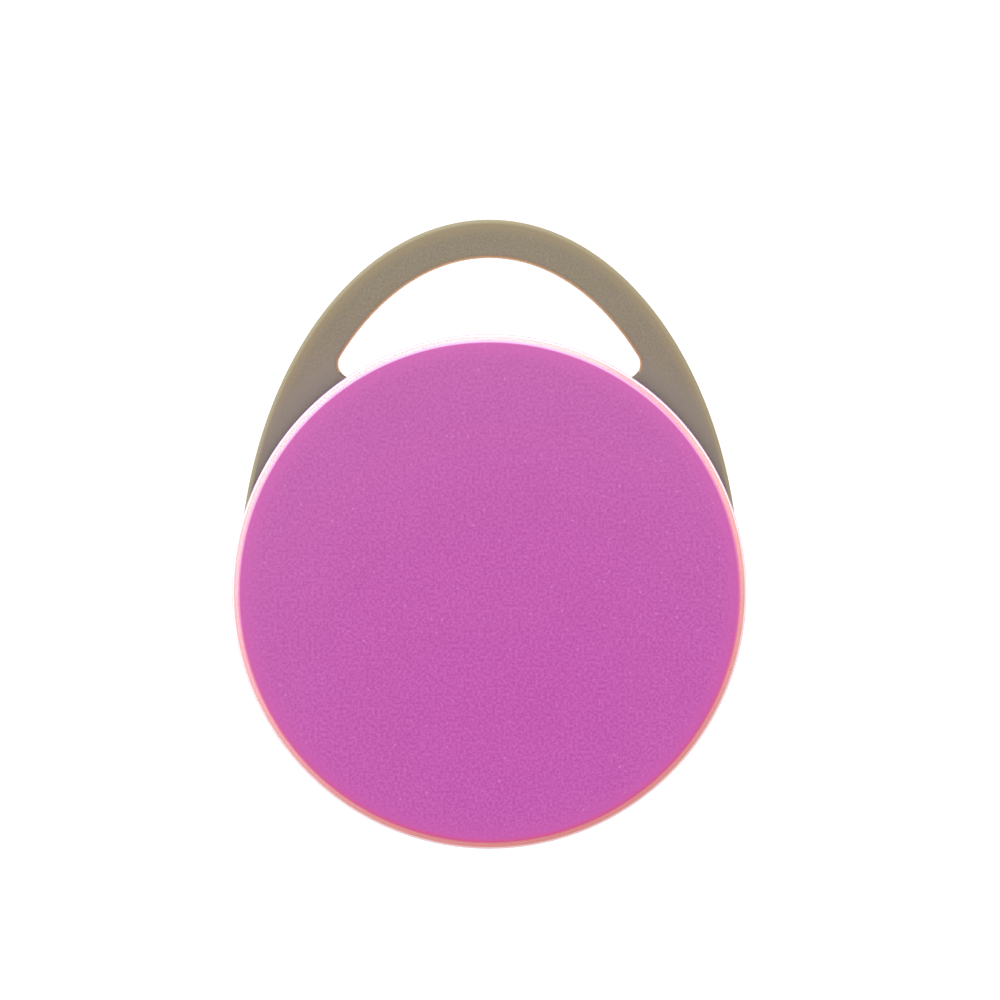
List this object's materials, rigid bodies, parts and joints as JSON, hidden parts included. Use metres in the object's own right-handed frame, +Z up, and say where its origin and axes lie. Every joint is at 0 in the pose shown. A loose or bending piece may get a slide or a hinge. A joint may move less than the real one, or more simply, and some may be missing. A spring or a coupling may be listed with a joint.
{
  "type": "bluetooth tracker tag",
  "caption": "Flat round tracker tag for keys: a press-button front cover, a frame with a key loop, a pry-off rear cover, and a coin cell, radio board and sounder inside.",
  "frame": {"origin": "where a key ring bears: the inside of the key loop's top, in the middle of its thickness", "axes": "+Z up, from the disc towards the loop; -Y out of the front cover's face; +X to the right seen from the front"},
  "size_m": [0.036, 0.008, 0.044],
  "materials": {
    "orchid_plastic": "fine sand texture",
    "taupe_plastic": "smooth matt",
    "seal_rubber": "matt",
    "membrane": "fine",
    "board_laminate": "solder mask",
    "black_plastic": "satin",
    "white_plastic": "satin",
    "tan_ceramic": "fired",
    "white_ceramic": "fired",
    "ferrite": "sintered",
    "cell_pellet": "pressed powder",
    "cell_lithium": "soft metal",
    "nickel_steel": "nickel plated",
    "spring_steel": "plated strip",
    "coil_copper": "enamelled wire"
  },
  "bodies": {
    "tag": {"loop_frame": "taupe_plastic", "front_gasket": "seal_rubber", "rear_seal": "seal_rubber", "circuit_board": "board_laminate", "board_screw_1": "nickel_steel", "board_screw_2": "nickel_steel", "board_screw_3": "nickel_steel", "board_screw_4": "nickel_steel", "switch_base": "black_plastic", "switch_dome": "spring_steel", "switch_lid": "nickel_steel", "cell_can": "nickel_steel", "cell_gasket": "white_plastic", "cell_cap": "nickel_steel", "cell_cathode": "cell_pellet", "cell_separator": "membrane", "cell_anode": "cell_lithium", "battery_cradle": "black_plastic", "positive_contact": "spring_steel", "negative_contact": "spring_steel", "sounder_case": "black_plastic", "sounder_lid": "black_plastic", "sounder_diaphragm": "spring_steel", "sounder_magnet": "ferrite", "sounder_coil": "coil_copper", "bluetooth_chip": "black_plastic", "main_crystal": "nickel_steel", "clock_crystal": "nickel_steel", "chip_antenna": "white_ceramic", "antenna_inductor": "white_ceramic", "boost_coil": "ferrite", "driver_transistor": "black_plastic", "bulk_capacitor": "tan_ceramic", "capacitor_1": "tan_ceramic", "capacitor_2": "tan_ceramic", "capacitor_3": "tan_ceramic", "capacitor_4": "tan_ceramic"},
    "button": {"front_cover": "orchid_plastic"},
    "plunger": {"switch_plunger": "white_plastic"},
    "battery_door": {"rear_cover": "orchid_plastic", "sound_membrane": "membrane"}
  },
  "joints": [
    {"name": "button_press", "type": "slide", "parent": "tag", "child": "button", "axis": [0, 1, 0], "range_m": [0, 0.00025], "stiffness_N_per_m": 3000, "springref_m": -0.00015},
    {"name": "switch_travel", "type": "slide", "parent": "tag", "child": "plunger", "axis": [0, 1, 0], "range_m": [0, 0.00025]},
    {"name": "rear_cover_lift", "type": "slide", "parent": "tag", "child": "battery_door", "axis": [0, 1, 0], "range_m": [0, 0.014]}
  ],
  "couplings": [
    {"joint": "switch_travel", "follows": "button_press", "ratio": 1}
  ]
}
